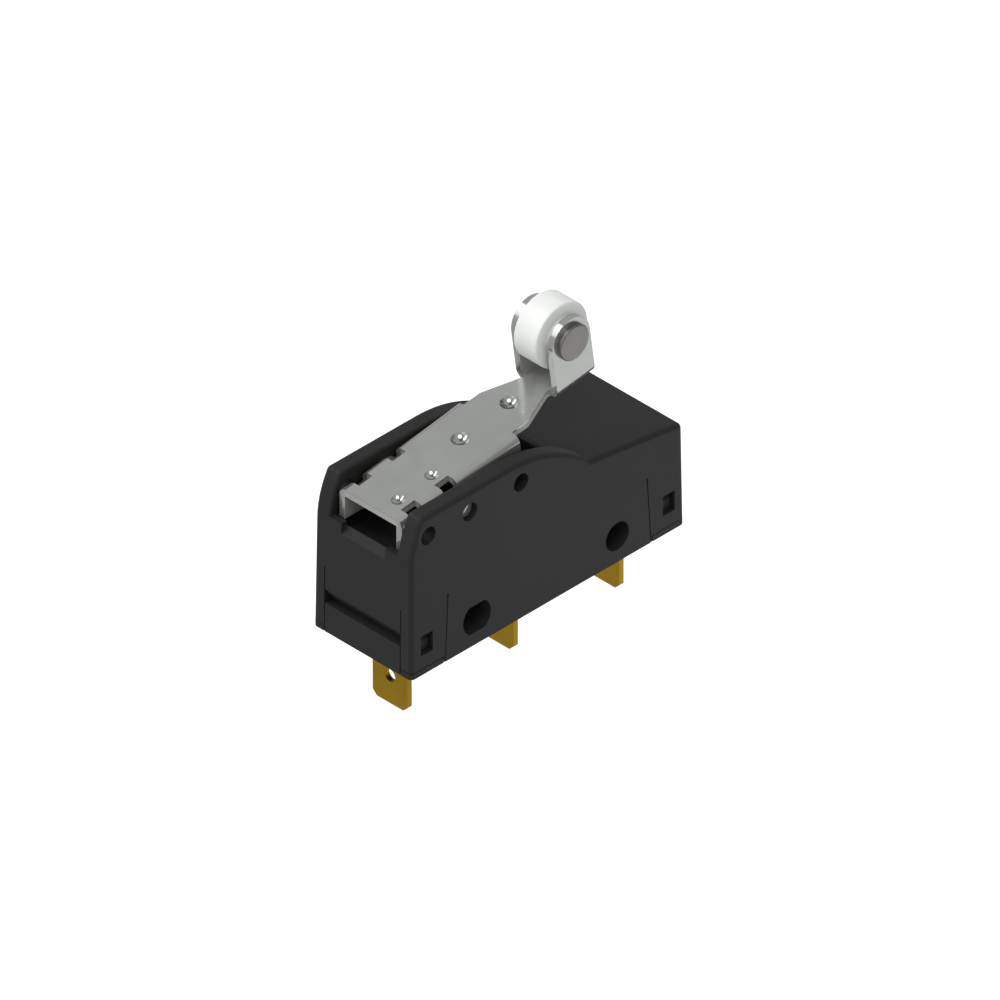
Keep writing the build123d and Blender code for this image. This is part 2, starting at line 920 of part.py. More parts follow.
def snap_spring():
    """Tension coil from the driver arm's tip to the contact arm, hooked through a hole in each."""
    lift = arm_sheet / 2 + snap_wire / 2 + contact_gap
    driver_reach = driver_hook_x() - driver_pivot_x()
    arm_reach = arm_hook_x() - arm_pivot_x()
    left = (driver_hook_x(), up(contact_plane_z) + driver_reach * tan(radians(driver_tip_angle())) + lift)
    right = (arm_hook_x(), up(contact_plane_z) + arm_reach * tan(radians(arm_swing)) + lift)
    span = sqrt((right[0] - left[0]) ** 2 + (right[1] - left[1]) ** 2)
    tilt = degrees(atan((right[1] - left[1]) / (right[0] - left[0])))
    coil_length = span - 2 * snap_hook_length
    radius = (snap_coil_diameter - snap_wire) / 2
    path = Helix(coil_length / snap_turns, coil_length, radius)
    wound = sweep(Plane(origin=path @ 0, z_dir=path % 0) * Circle(snap_wire / 2), path, is_frenet=True)
    spring = Pos(snap_hook_length, 0, 0) * Rot(0, 90, 0) * wound
    for start, stop, turn in ((snap_hook_length, 0, -1), (span - snap_hook_length, span, 1)):
        route = FilletPolyline(
            (start, 0, -radius),
            (start + turn * snap_hook_rise, 0, 0),
            (stop, 0, 0),
            (stop, 0, -arm_sheet - 2 * snap_wire),
            radius=snap_hook_bend,
        )
        hook = sweep(Plane(origin=route @ 0, z_dir=route % 0) * Circle(snap_wire / 2), route)
        spring = spring + hook
    return Pos(left[0], 0, left[1]) * Rot(0, -tilt, 0) * spring


# Lever, roller and axle


def on_lever(distance, height):
    """X and Z in the part's frame of a place in the lever's own frame."""
    turn = radians(lever_angle)
    x = along(pivot_x) + distance * cos(turn) - height * sin(turn)
    z = up(pivot_hole_z) + distance * sin(turn) + height * cos(turn)
    return x, z


def in_lever_frame(shape):
    """Place a shape drawn about the pivot, with the plate level, where the lever is at rest."""
    return Pos(along(pivot_x), 0, up(pivot_hole_z)) * Rot(0, -lever_angle, 0) * shape


def lever_point(x, z):
    """A place of the part's frame in the lever's own frame."""
    turn = radians(lever_angle)
    dx = x - along(pivot_x)
    dz = z - up(pivot_hole_z)
    return dx * cos(turn) + dz * sin(turn), -dx * sin(turn) + dz * cos(turn)


def lever_flanges():
    """Folded channel: plate and two flanges, trimmed to the flange's side view."""
    half = lever_width / 2
    top = lever_plate_height
    depth = 2 * half
    outer = Pos(0, top - half) * Rectangle(lever_width, depth)
    outer = fillet(outer.vertices().group_by(Axis.Y)[-1], lever_fold_radius)
    inner = Pos(0, (top - lever_sheet) - depth) * Rectangle(lever_width - 2 * lever_sheet, 2 * depth)
    inner = fillet(inner.vertices().group_by(Axis.Y)[-1], lever_fold_radius - lever_sheet)
    run = body_length
    channel = extrude(Plane.YZ.offset(flange_end - run) * (outer - inner), amount=run)
    left_x = inward(lever_end_inset)
    corner = lever_point(left_x, up(flange_bottom_z))
    flat_end = lever_point(along(pivot_x) + flange_flat_end, up(flange_bottom_z))
    plate_end = lever_point(left_x, up(cheek_top_z + past))
    end_low = top - flange_end_depth
    profile = make_face(
        Polyline(
            plate_end,
            corner,
            flat_end,
            (flange_end, end_low),
            (flange_end, top + past),
            plate_end,
        )
    )
    low_corner = profile.vertices().sort_by_distance((flange_end, end_low, 0))[0]
    profile = fillet(low_corner, flange_corner_radius)
    return channel & extrude(Plane.XZ * profile, amount=half + past, both=True)


def lever_plate():
    """Flat front part of the plate: it narrows to the neck and runs on as the fork's base."""
    half = taper_width / 2
    fork_end = roller_centre + fork_length / 2
    plan = Polygon(
        (flange_end - past, -half),
        (taper_start, -half),
        (neck_start, -plate_half_width_at_neck),
        (fork_end, -plate_half_width_at_neck),
        (fork_end, plate_half_width_at_neck),
        (neck_start, plate_half_width_at_neck),
        (taper_start, half),
        (flange_end - past, half),
        align=None,
    )
    return extrude(Plane.XY.offset(lever_plate_height - lever_sheet) * plan, amount=lever_sheet)


def lever_fork():
    """Two ears folded up from the plate, round at the top about the axle."""
    half = fork_width / 2
    low = lever_plate_height - lever_sheet
    high = roller_height + fork_length / 2
    tall = high + past - low
    outer = Pos(0, low + tall / 2) * Rectangle(fork_width, tall)
    outer = fillet(outer.vertices().group_by(Axis.Y)[0], fork_fold_radius)
    inner = Pos(0, low + lever_sheet + tall / 2) * Rectangle(fork_width - 2 * lever_sheet, tall)
    inner = fillet(inner.vertices().group_by(Axis.Y)[0], fork_fold_radius - lever_sheet)
    start = roller_centre - fork_length / 2
    fork = extrude(Plane.YZ.offset(start) * (outer - inner), amount=fork_length)
    ear_view = Pos(roller_centre, (low + roller_height) / 2) * Rectangle(fork_length, roller_height - low)
    ear_view = ear_view + Pos(roller_centre, roller_height) * Circle(fork_length / 2)
    fork = fork & extrude(Plane.XZ * ear_view, amount=half + past, both=True)
    axle_hole = axle_diameter + 2 * rivet_gap
    return fork - cross_pin(roller_centre, roller_height, axle_hole, -half - past, half + past)


def dimple_ball(diameter, depth):
    """Radius of the ball that presses a dimple of the given size."""
    return ((diameter / 2) ** 2 + depth**2) / (2 * depth)


def dimple(distance, offset, diameter, depth):
    """Pressed dimple: the bulge under the plate and the hollow in its top."""
    rim = diameter / 2
    ball = dimple_ball(diameter, depth)
    top = lever_plate_height
    hollow = Pos(distance, offset, top - depth + ball) * Sphere(ball)
    low = top - lever_sheet
    bulge_cap = Pos(distance, offset, low - depth + ball) * Sphere(ball)
    root = lever_sheet / 4
    below = Pos(distance, offset, low + (root - depth) / 2) * Cylinder(rim + root, depth + root)
    return hollow, bulge_cap & below


def edge_notch(distance):
    """Cut through both folds of the channel at a pivot place."""
    low = lever_plate_height - lever_sheet - notch_drop
    cuts = block(
        distance - notch_length / 2,
        distance + notch_length / 2,
        notch_inner_width / 2,
        lever_width / 2 + past,
        low,
        lever_plate_height + past,
    )
    return on_both_faces(cuts)


def pivot_boss():
    """Round boss pressed out of the front flange, hollow on the inside."""
    outside = lever_width / 2
    boss = cross_pin(0, 0, boss_diameter, -outside - boss_reach, -outside + lever_sheet / 2)
    rim = boss.edges().filter_by(GeomType.CIRCLE).sort_by_distance((0, -outside - boss_reach, 0))[0]
    return fillet(rim, boss_edge_radius)


def lever():
    """Plated sheet lever, folded from one piece."""
    blank = lever_flanges() + lever_plate() + lever_fork()
    blank = blank - edge_notch(rear_notch) - edge_notch(0)
    blank = blank + on_both_faces(pivot_boss())
    inside = lever_width / 2 - lever_sheet
    recess = cross_pin(0, 0, boss_recess_diameter, -inside - boss_reach, -inside + lever_sheet)
    blank = blank - on_both_faces(recess)
    for place in (plunger_dimple, far_dimple):
        hollow, bulge = dimple(place, 0, large_dimple_diameter, large_dimple_depth)
        blank = blank + bulge - hollow
    for place in (rear_notch, 0):
        hollow, bulge = dimple(place, -small_dimple_offset, small_dimple_diameter, small_dimple_depth)
        blank = blank + bulge - hollow
    return in_lever_frame(blank)


def roller():
    """Moulded roller with a hub at each side and a running bore."""
    inner_gap = fork_width - 2 * lever_sheet
    wheel = cross_pin(0, 0, roller_diameter, -roller_width / 2, roller_width / 2)
    wheel = fillet(wheel.edges().filter_by(GeomType.CIRCLE), roller_edge_radius)
    hub = inner_gap / 2 - hub_end_gap
    wheel = wheel + cross_pin(0, 0, hub_diameter, -hub, hub)
    wheel = wheel - cross_pin(0, 0, axle_diameter + 2 * axle_fit, -hub - past, hub + past)
    x, z = on_lever(roller_centre, roller_height)
    return Pos(x, 0, z) * wheel


def roller_axle():
    """Riveted pin with a flat head outside each ear."""
    reach = fork_width / 2
    pin = cross_pin(0, 0, axle_diameter, -reach, reach)
    for side in (-1, 1):
        head = cross_pin(0, 0, axle_head_diameter, side * reach, side * (reach + axle_head))
        rim = head.edges().filter_by(GeomType.CIRCLE).sort_by_distance((0, side * (reach + axle_head), 0))[0]
        pin = pin + fillet(rim, axle_head / 3)
    x, z = on_lever(roller_centre, roller_height)
    return Pos(x, 0, z) * pin


pieces = {
    "upper_housing": upper_housing,
    "base_plate": base_plate,
    "lever": lever,
    "roller": roller,
    "roller_axle": roller_axle,
    "plunger": plunger,
    "driver_arm": driver_arm,
    "driver_bracket": driver_bracket,
    "bracket_rivets": bracket_rivets,
    "contact_arm": contact_arm,
    "moving_contact": moving_contact,
    "snap_spring": snap_spring,
    "return_spring": return_spring,
    "common_terminal": common_terminal,
    "normally_open_terminal": normally_open_terminal,
    "normally_closed_terminal": normally_closed_terminal,
    "normally_open_contact": normally_open_contact,
    "normally_closed_contact": normally_closed_contact,
}

os.makedirs("parts", exist_ok=True)
for name, make in pieces.items():
    export_step(make(), f"parts/{name}.step")
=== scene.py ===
# %% [markdown]
# # A micro switch with a roller lever
#
# This is a large snap-action switch: a black moulded box with a folded steel lever on top, a white
# roller in the lever's fork and three brass tabs underneath. The solid model of every piece already
# exists, at its true size and place. This lesson gives the pieces their finishes, smooths the
# shading of their round faces, and lights and frames them like the reference photograph.
#
# The first step loads the solid model. Each of its pieces becomes one mesh object, with its place
# built into its points. The size of the whole object is noted now, so that it can be compared with
# the dressed object at the end.

# %% Load the solid model
import json
import math

import bpy
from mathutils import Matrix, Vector


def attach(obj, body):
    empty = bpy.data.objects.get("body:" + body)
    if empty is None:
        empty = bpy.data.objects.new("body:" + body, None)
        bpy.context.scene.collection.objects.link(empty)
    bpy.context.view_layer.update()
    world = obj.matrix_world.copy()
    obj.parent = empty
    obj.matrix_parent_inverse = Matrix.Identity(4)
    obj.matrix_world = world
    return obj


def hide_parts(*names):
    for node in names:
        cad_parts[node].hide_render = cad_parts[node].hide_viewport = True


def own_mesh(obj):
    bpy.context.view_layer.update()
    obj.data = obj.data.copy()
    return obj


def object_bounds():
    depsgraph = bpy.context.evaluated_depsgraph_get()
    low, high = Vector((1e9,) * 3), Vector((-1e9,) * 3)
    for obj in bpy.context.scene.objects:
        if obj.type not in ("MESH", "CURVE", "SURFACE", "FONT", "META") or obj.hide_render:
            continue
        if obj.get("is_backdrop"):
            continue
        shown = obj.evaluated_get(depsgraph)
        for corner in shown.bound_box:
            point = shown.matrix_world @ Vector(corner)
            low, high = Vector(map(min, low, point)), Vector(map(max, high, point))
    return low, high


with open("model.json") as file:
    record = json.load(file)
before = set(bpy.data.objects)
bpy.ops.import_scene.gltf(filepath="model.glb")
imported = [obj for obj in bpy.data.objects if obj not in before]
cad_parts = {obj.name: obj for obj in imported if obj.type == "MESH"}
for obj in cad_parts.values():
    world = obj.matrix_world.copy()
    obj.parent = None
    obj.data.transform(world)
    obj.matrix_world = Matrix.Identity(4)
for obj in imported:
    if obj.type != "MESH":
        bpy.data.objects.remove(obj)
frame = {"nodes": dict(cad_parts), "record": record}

solid_box = [list(corner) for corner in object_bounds()]
print("pieces:", len(frame["nodes"]))

# %% [markdown]
# ## Colours
#
# Colours on a photograph are stored with a display curve, and shader sockets want plain light
# values. One small helper turns the red, green and blue that an eye reads from a screen (0 to 255)
# into light values, so that every finish below can be written the way it is seen.

# %% Turn screen colours into light values
def light_value(level):
    share = level / 255
    if share <= 0.04045:
        return share / 12.92
    return ((share + 0.055) / 1.055) ** 2.4


def screen_colour(red, green, blue):
    return (light_value(red), light_value(green), light_value(blue), 1.0)


print("mid grey:", [round(value, 3) for value in screen_colour(128, 128, 128)])

# %% [markdown]
# ## The camera
#
# The photograph is an isometric picture: the camera looks along the diagonal of a cube, from the
# front left and above, and lines that are parallel on the switch stay parallel in the picture. An
# orthographic camera would draw that exactly. A very long lens from far away gives the same look
# and still is a real lens, so it was chosen. The frame is as wide as the photograph's, and the aim
# is measured from the body's front left bottom corner, to the right and up in the picture.

# %% Place a long lens on the cube's diagonal
frame_width = 0.12783
lens = 1400.0
sensor_width = 36
azimuth = math.radians(-45)
elevation = math.atan(1 / math.sqrt(2))
back = Vector(
    (
        math.sin(azimuth) * math.cos(elevation),
        -math.cos(azimuth) * math.cos(elevation),
        math.sin(elevation),
    )
)
right = Vector((math.cos(azimuth), math.sin(azimuth), 0))
upward = back.cross(right)
front_corner = Vector((-0.0373, -0.00883, -0.004))
aim_to_right = 0.011359
aim_upward = 0.023128
middle = Vector((-0.0127, 0, 0.010))
aim = front_corner + right * aim_to_right + upward * aim_upward
aim = aim + back * (middle - aim).dot(back)

bpy.ops.object.select_all(action="DESELECT")
bpy.ops.object.camera_add(location=aim + back * frame_width * lens / sensor_width)
camera = bpy.context.object
camera.name = "long_lens"
camera.rotation_euler = back.to_track_quat("Z", "Y").to_euler()
camera.data.lens = lens
camera.data.sensor_width = sensor_width
camera.data.clip_start = 0.1
camera.data.clip_end = 60
bpy.context.scene.camera = camera
print("camera stands off by", round((camera.location - aim).length, 3), "m")

# %% [markdown]
# ## The studio
#
# The photograph has no hard shadows: light comes from all round. The bright steel tells more about
# that light, because it mirrors it. A picture of a room could be wrapped round the scene for that.
# Here the sky is built from a few parts instead, which are easy to move: an even grey dome, and
# soft round patches that add light to it or take light away. Each patch has a direction, an inner
# angle up to which it is full and an outer angle at which it ends, in degrees, and a level. -X is
# the switch's left end, and -Y is its front.

# %% Write down the soft patches of the sky
dome_level = 0.58
sky_tint = (0.97, 0.985, 1.0, 1)
sky_patches = {
    "dark ceiling": ((0.02, 0.28, 0.96), 8, 22, -0.34),
    "high window at the back": ((-0.34, 0.58, 0.74), 9, 17, 3.4),
    "second window, to its left": ((-0.62, 0.56, 0.56), 8, 20, 1.6),
    "dim corner at the front right": ((0.70, -0.70, 0.10), 20, 48, -0.28),
    "pale wall at the left": ((-1.0, -0.12, 0.12), 12, 36, 0.6),
    "low window at the back": ((0.17, 0.97, 0.12), 5, 12, 2.0),
    "dark gap above it": ((0.30, 0.86, 0.42), 6, 16, -0.34),
}
print("patches:", ", ".join(sky_patches))

# %% [markdown]
# A patch compares the direction of a ray with its own. The dot product of two directions is the
# cosine of the angle between them, so a smooth step between the cosines of the two angles draws a
# round patch with a soft edge. The patches are added up one after the other, on top of the dome.

# %% Add up the dome and its patches
bpy.context.scene.view_settings.view_transform = "Standard"
world = bpy.data.worlds.new("studio_sky")
bpy.context.scene.world = world
world.use_nodes = True
sky = world.node_tree
sky.nodes.clear()
where = sky.nodes.new("ShaderNodeTexCoord")
total = None
for direction, inner, outer, level in sky_patches.values():
    facing = sky.nodes.new("ShaderNodeVectorMath")
    facing.operation = "DOT_PRODUCT"
    facing.inputs[1].default_value = Vector(direction).normalized()
    patch = sky.nodes.new("ShaderNodeMapRange")
    patch.interpolation_type = "SMOOTHSTEP"
    patch.inputs["From Min"].default_value = math.cos(math.radians(outer))
    patch.inputs["From Max"].default_value = math.cos(math.radians(inner))
    patch.inputs["To Max"].default_value = level
    add = sky.nodes.new("ShaderNodeMath")
    add.operation = "ADD"
    sky.links.new(where.outputs["Generated"], facing.inputs[0])
    sky.links.new(facing.outputs["Value"], patch.inputs["Value"])
    sky.links.new(patch.outputs["Result"], add.inputs[1])
    if total is None:
        add.inputs[0].default_value = dome_level
    else:
        sky.links.new(total, add.inputs[0])
    total = add.outputs["Value"]
print("sky nodes so far:", len(sky.nodes))

# %% [markdown]
# The photograph's background is pure white, and a sky that bright would wash out the black plastic.
# The world can tell which rays come straight from the camera, so those see a white of strength 1,
# and all the others, which light the switch or are mirrored by it, see the grey sky.

# %% Show plain white to the camera
lit_sky = sky.nodes.new("ShaderNodeBackground")
lit_sky.inputs["Color"].default_value = sky_tint
seen_sky = sky.nodes.new("ShaderNodeBackground")
seen_sky.inputs["Color"].default_value = (1, 1, 1, 1)
rays = sky.nodes.new("ShaderNodeLightPath")
choose = sky.nodes.new("ShaderNodeMixShader")
sky_out = sky.nodes.new("ShaderNodeOutputWorld")
sky.links.new(total, lit_sky.inputs["Strength"])
sky.links.new(rays.outputs["Is Camera Ray"], choose.inputs["Fac"])
sky.links.new(lit_sky.outputs["Background"], choose.inputs[1])
sky.links.new(seen_sky.outputs["Background"], choose.inputs[2])
sky.links.new(choose.outputs["Shader"], sky_out.inputs["Surface"])
print("sky nodes:", len(sky.nodes))

# %% [markdown]
# A sky alone gives no direction. One broad lamp hangs high above the switch, a little towards the
# camera, and makes the top faces lighter than the sides. A small or a far lamp would draw hard
# shadows, so it is half a metre wide and only 0.8 m away.

# %% Hang a broad lamp
lamp_direction = Vector((-0.45, -0.45, 1.3)).normalized()
lamp_distance = 0.8
place = middle + lamp_direction * lamp_distance
bpy.ops.object.light_add(type="AREA", location=place)
key = bpy.context.object
key.name = "key_lamp"
key.data.shape = "DISK"
key.data.size = 0.5
key.data.energy = 1.8
key.data.color = (1.0, 0.99, 0.95)
key.rotation_euler = (place - middle).to_track_quat("Z", "Y").to_euler()
print("lamp:", key.name, "at", [round(value, 2) for value in place])

# %% [markdown]
# The sweep under the switch is a big white sheet. The switch is held by its mounting holes in use,
# so the sheet lies a little below the tabs. A white paper that is only lit would turn out grey, so
# its material glows for some rays. Camera rays see a glow that takes the sheet to white in the open
# and leaves the shadow. Polished metal mirrors a weaker one, which is full near a spot in front of
# the switch, to the right, and fades out 13 cm from there.

# %% Lay the white sweep
sweep_drop = 0.012
paper_colour = (0.55, 0.555, 0.56, 1)
glow_colour = (0.96, 1.0, 1.0, 1)
glow_seen = 0.80
glow_mirrored = 0.60
pool_centre = (0.045, -0.05, 0)
pool_full = 0.04
pool_end = 0.13

bpy.ops.object.select_all(action="DESELECT")
bpy.ops.mesh.primitive_plane_add(size=8, location=(0, 0, solid_box[0][2] - sweep_drop))
sweep = bpy.context.object
sweep.name = "white_sweep"
paper = bpy.data.materials.new("white_paper")
paper.use_nodes = True
tree = paper.node_tree
shader = tree.nodes["Principled BSDF"]
shader.inputs["Base Color"].default_value = paper_colour
shader.inputs["Roughness"].default_value = 0.95
shader.inputs["Specular IOR Level"].default_value = 0.1
sweep.data.materials.append(paper)
sweep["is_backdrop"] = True
print("sweep at", round(sweep.location.z * 1000, 2), "mm")

# %% [markdown]
# The glow is worked out in a few nodes: the distance from the middle of the pool gives the mirrored
# strength, which counts for glossy rays only, and the camera's share is added to it. An Add Shader
# node then lays the glow over the paper.

# %% Let the sweep glow
paper_rays = tree.nodes.new("ShaderNodeLightPath")
spot = tree.nodes.new("ShaderNodeTexCoord")
distance = tree.nodes.new("ShaderNodeVectorMath")
distance.operation = "DISTANCE"
distance.inputs[1].default_value = pool_centre
fade = tree.nodes.new("ShaderNodeMapRange")
fade.inputs["From Min"].default_value = pool_full
fade.inputs["From Max"].default_value = pool_end
fade.inputs["To Min"].default_value = glow_mirrored
fade.inputs["To Max"].default_value = 0.0
mirrored = tree.nodes.new("ShaderNodeMath")
mirrored.operation = "MULTIPLY"
seen = tree.nodes.new("ShaderNodeMath")
seen.operation = "MULTIPLY_ADD"
seen.inputs[1].default_value = glow_seen
glow = tree.nodes.new("ShaderNodeEmission")
glow.inputs["Color"].default_value = glow_colour
both = tree.nodes.new("ShaderNodeAddShader")
tree.links.new(spot.outputs["Object"], distance.inputs[0])
tree.links.new(distance.outputs["Value"], fade.inputs["Value"])
tree.links.new(fade.outputs["Result"], mirrored.inputs[1])
tree.links.new(paper_rays.outputs["Is Glossy Ray"], mirrored.inputs[0])
tree.links.new(paper_rays.outputs["Is Camera Ray"], seen.inputs[0])
tree.links.new(mirrored.outputs["Value"], seen.inputs[2])
tree.links.new(seen.outputs["Value"], glow.inputs["Strength"])
tree.links.new(shader.outputs["BSDF"], both.inputs[0])
tree.links.new(glow.outputs["Emission"], both.inputs[1])
tree.links.new(both.outputs["Shader"], tree.nodes["Material Output"].inputs["Surface"])
print("paper nodes:", len(tree.nodes))

# %% [markdown]
# ## Shared surface effects
#
# Real surfaces are never quite even, and the same few effects come back on several materials. They
# could be wired again in each material. Each one is a node group instead: a small machine with
# named inputs and outputs that is built once and then placed in each material with its own values.
# One helper starts a group, and gives it its sockets.

# %% A helper that starts a node group
def new_group(name, inputs, outputs):
    group = bpy.data.node_groups.new(name, "ShaderNodeTree")
    for title, kind, start in inputs:
        socket = group.interface.new_socket(name=title, in_out="INPUT", socket_type=kind)
        if start is not None:
            socket.default_value = start
    for title in outputs:
        group.interface.new_socket(name=title, in_out="OUTPUT", socket_type="NodeSocketFloat")
    enter = group.nodes.new("NodeGroupInput")
    leave = group.nodes.new("NodeGroupOutput")
    return group, enter, leave


print("helper ready:", new_group.__name__)

# %% [markdown]
# The first group is the skin of a moulding. The mould's steel is spark-eroded, which leaves a very
# fine grain on the plastic, and the plastic cools unevenly, which leaves clouds a few millimetres
# wide. Noise at two sizes shows both: the fine one is a height for a bump, and the wide one is a
# tone that makes colour and gloss drift a little.

# %% Moulded skin
clouds_per_metre = 190.0
moulded_skin, enter, leave = new_group(
    "moulded_skin",
    [("Place", "NodeSocketVector", None), ("Grain per metre", "NodeSocketFloat", 5200.0)],
    ["Height", "Tone"],
)
grain = moulded_skin.nodes.new("ShaderNodeTexNoise")
grain.inputs["Detail"].default_value = 3.0
grain.inputs["Roughness"].default_value = 0.62
clouds = moulded_skin.nodes.new("ShaderNodeTexNoise")
clouds.inputs["Scale"].default_value = clouds_per_metre
clouds.inputs["Detail"].default_value = 2.0
moulded_skin.links.new(enter.outputs["Place"], grain.inputs["Vector"])
moulded_skin.links.new(enter.outputs["Grain per metre"], grain.inputs["Scale"])
moulded_skin.links.new(enter.outputs["Place"], clouds.inputs["Vector"])
moulded_skin.links.new(grain.outputs["Fac"], leave.inputs["Height"])
moulded_skin.links.new(clouds.outputs["Fac"], leave.inputs["Tone"])
print("group:", moulded_skin.name)

# %% [markdown]
# The second group is rolled or drawn metal. The rolls or the die leave fine lines that all run one
# way. Noise looks the same in every direction, so the place is stretched before it reaches the
# noise: a small value along one axis draws the pattern out along it. Wider stains give the tone.

# %% Drawn metal
lines_per_metre = 3600.0
stains_per_metre = 260.0
drawn_metal, enter, leave = new_group(
    "drawn_metal",
    [("Place", "NodeSocketVector", None), ("Stretch", "NodeSocketVector", (1.0, 1.0, 1.0))],
    ["Height", "Tone"],
)
pull = drawn_metal.nodes.new("ShaderNodeVectorMath")
pull.operation = "MULTIPLY"
lines = drawn_metal.nodes.new("ShaderNodeTexNoise")
lines.inputs["Scale"].default_value = lines_per_metre
lines.inputs["Detail"].default_value = 2.0
stains = drawn_metal.nodes.new("ShaderNodeTexNoise")
stains.inputs["Scale"].default_value = stains_per_metre
stains.inputs["Detail"].default_value = 3.0
drawn_metal.links.new(enter.outputs["Place"], pull.inputs[0])
drawn_metal.links.new(enter.outputs["Stretch"], pull.inputs[1])
drawn_metal.links.new(pull.outputs["Vector"], lines.inputs["Vector"])
drawn_metal.links.new(enter.outputs["Place"], stains.inputs["Vector"])
drawn_metal.links.new(lines.outputs["Fac"], leave.inputs["Height"])
drawn_metal.links.new(stains.outputs["Fac"], leave.inputs["Tone"])
print("group:", drawn_metal.name)

# %% [markdown]
# ## Finishes
#
# A finish is one material. The recipe is the same for all: the group reads the piece's own
# coordinates, its tone shifts the colour between a darker and a lighter value and shifts the gloss,
# and its height goes through a bump node into the normal. The noise keeps near its middle, so the
# tone is spread before it mixes the colours. What stays the same all over a piece, such as how
# metallic it is, is set directly on the shader.

# %% The recipe for a finish
tone_range = (0.3, 0.7)


def make_finish(name, group, colours, gloss, bump, depth, metallic=0.0, specular=0.5, **settings):
    material = bpy.data.materials.new(name)
    material.use_nodes = True
    tree = material.node_tree
    shader = tree.nodes["Principled BSDF"]
    shader.inputs["Metallic"].default_value = metallic
    shader.inputs["Specular IOR Level"].default_value = specular
    coordinates = tree.nodes.new("ShaderNodeTexCoord")
    effect = tree.nodes.new("ShaderNodeGroup")
    effect.node_tree = group
    for title, value in settings.items():
        effect.inputs[title.replace("_", " ").capitalize()].default_value = value
    tone = tree.nodes.new("ShaderNodeMapRange")
    tone.inputs["From Min"].default_value = tone_range[0]
    tone.inputs["From Max"].default_value = tone_range[1]
    colour = tree.nodes.new("ShaderNodeMix")
    colour.data_type = "RGBA"
    colour.inputs["A"].default_value = screen_colour(*colours[0])
    colour.inputs["B"].default_value = screen_colour(*colours[1])
    rough = tree.nodes.new("ShaderNodeMapRange")
    rough.inputs["To Min"].default_value = gloss[0]
    rough.inputs["To Max"].default_value = gloss[1]
    relief = tree.nodes.new("ShaderNodeBump")
    relief.inputs["Strength"].default_value = bump
    relief.inputs["Distance"].default_value = depth
    tree.links.new(coordinates.outputs["Object"], effect.inputs["Place"])
    tree.links.new(effect.outputs["Tone"], tone.inputs["Value"])
    tree.links.new(tone.outputs["Result"], colour.inputs["Factor"])
    tree.links.new(colour.outputs["Result"], shader.inputs["Base Color"])
    tree.links.new(effect.outputs["Tone"], rough.inputs["Value"])
    tree.links.new(rough.outputs["Result"], shader.inputs["Roughness"])
    tree.links.new(effect.outputs["Height"], relief.inputs["Height"])
    tree.links.new(relief.outputs["Normal"], shader.inputs["Normal"])
    return material


print("recipe ready:", make_finish.__name__)

# %% [markdown]
# The housing and the base are the same black plastic, the base a touch darker and rougher. Black
# plastic could be pure black, but then no shape would show: here it is a very dark warm grey that
# mirrors little. The roller is white plastic that turns light round inside it, so a little of the
# light that enters comes out again close by, the same for red, green and blue.

# %% Plastics
black_housing = make_finish(
    "black_housing", moulded_skin, colours=((34, 33, 32), (37, 36, 35)), gloss=(0.52, 0.60),
    bump=0.10, depth=0.00003, specular=0.26, grain_per_metre=5200.0,
)
black_base = make_finish(
    "black_base", moulded_skin, colours=((32, 31, 30), (35, 34, 33)), gloss=(0.52, 0.62),
    bump=0.12, depth=0.00003, specular=0.26, grain_per_metre=4600.0,
)
white_roller = make_finish(
    "white_roller", moulded_skin, colours=((238, 239, 236), (244, 245, 242)), gloss=(0.34, 0.44),
    bump=0.08, depth=0.00002, specular=0.45, grain_per_metre=3000.0,
)
dark_plunger = make_finish(
    "dark_plunger", moulded_skin, colours=((38, 38, 40), (44, 44, 46)), gloss=(0.30, 0.42),
    bump=0.08, depth=0.00002, specular=0.45, grain_per_metre=3400.0,
)
roller_shader = white_roller.node_tree.nodes["Principled BSDF"]
roller_shader.inputs["Subsurface Weight"].default_value = 0.3
roller_shader.inputs["Subsurface Radius"].default_value = (1.0, 1.0, 1.0)
roller_shader.inputs["Subsurface Scale"].default_value = 0.0008
print("plastics:", black_housing.name, black_base.name, white_roller.name, dark_plunger.name)

# %% [markdown]
# The lever is steel with a thin bright plating, and the tabs are bare brass strip. A metal's colour
# is the colour of what it mirrors, so a metallic value of 1 would be the plain choice. The plating
# shows a soft grey of its own in the photograph as well, so the sheet is 0.74 metallic: the rest is
# an ordinary grey surface. The pins are turned from darker steel. The strips and wires inside are
# springy copper alloy, silver and drawn wire. The lines run along each piece's own length.

# %% Metals
plated_sheet = make_finish(
    "plated_sheet", drawn_metal, colours=((176, 177, 173), (182, 183, 179)), gloss=(0.11, 0.17),
    bump=0.03, depth=0.00001, metallic=0.74, stretch=(0.03, 1.0, 0.6),
)
turned_pin = make_finish(
    "turned_pin", drawn_metal, colours=((122, 119, 116), (132, 129, 126)), gloss=(0.26, 0.36),
    bump=0.08, depth=0.00001, metallic=0.9, stretch=(0.5, 0.5, 0.5),
)
brass_strip = make_finish(
    "brass_strip", drawn_metal, colours=((158, 124, 15), (168, 133, 22)), gloss=(0.34, 0.46),
    bump=0.08, depth=0.00001, metallic=1.0, stretch=(1.0, 1.0, 0.04),
)
copper_strip = make_finish(
    "copper_strip", drawn_metal, colours=((176, 118, 78), (196, 134, 92)), gloss=(0.30, 0.42),
    bump=0.10, depth=0.00001, metallic=1.0, stretch=(0.04, 1.0, 1.0),
)
spring_wire = make_finish(
    "spring_wire", drawn_metal, colours=((150, 152, 156), (172, 174, 178)), gloss=(0.24, 0.34),
    bump=0.08, depth=0.00001, metallic=1.0, stretch=(1.0, 1.0, 1.0),
)
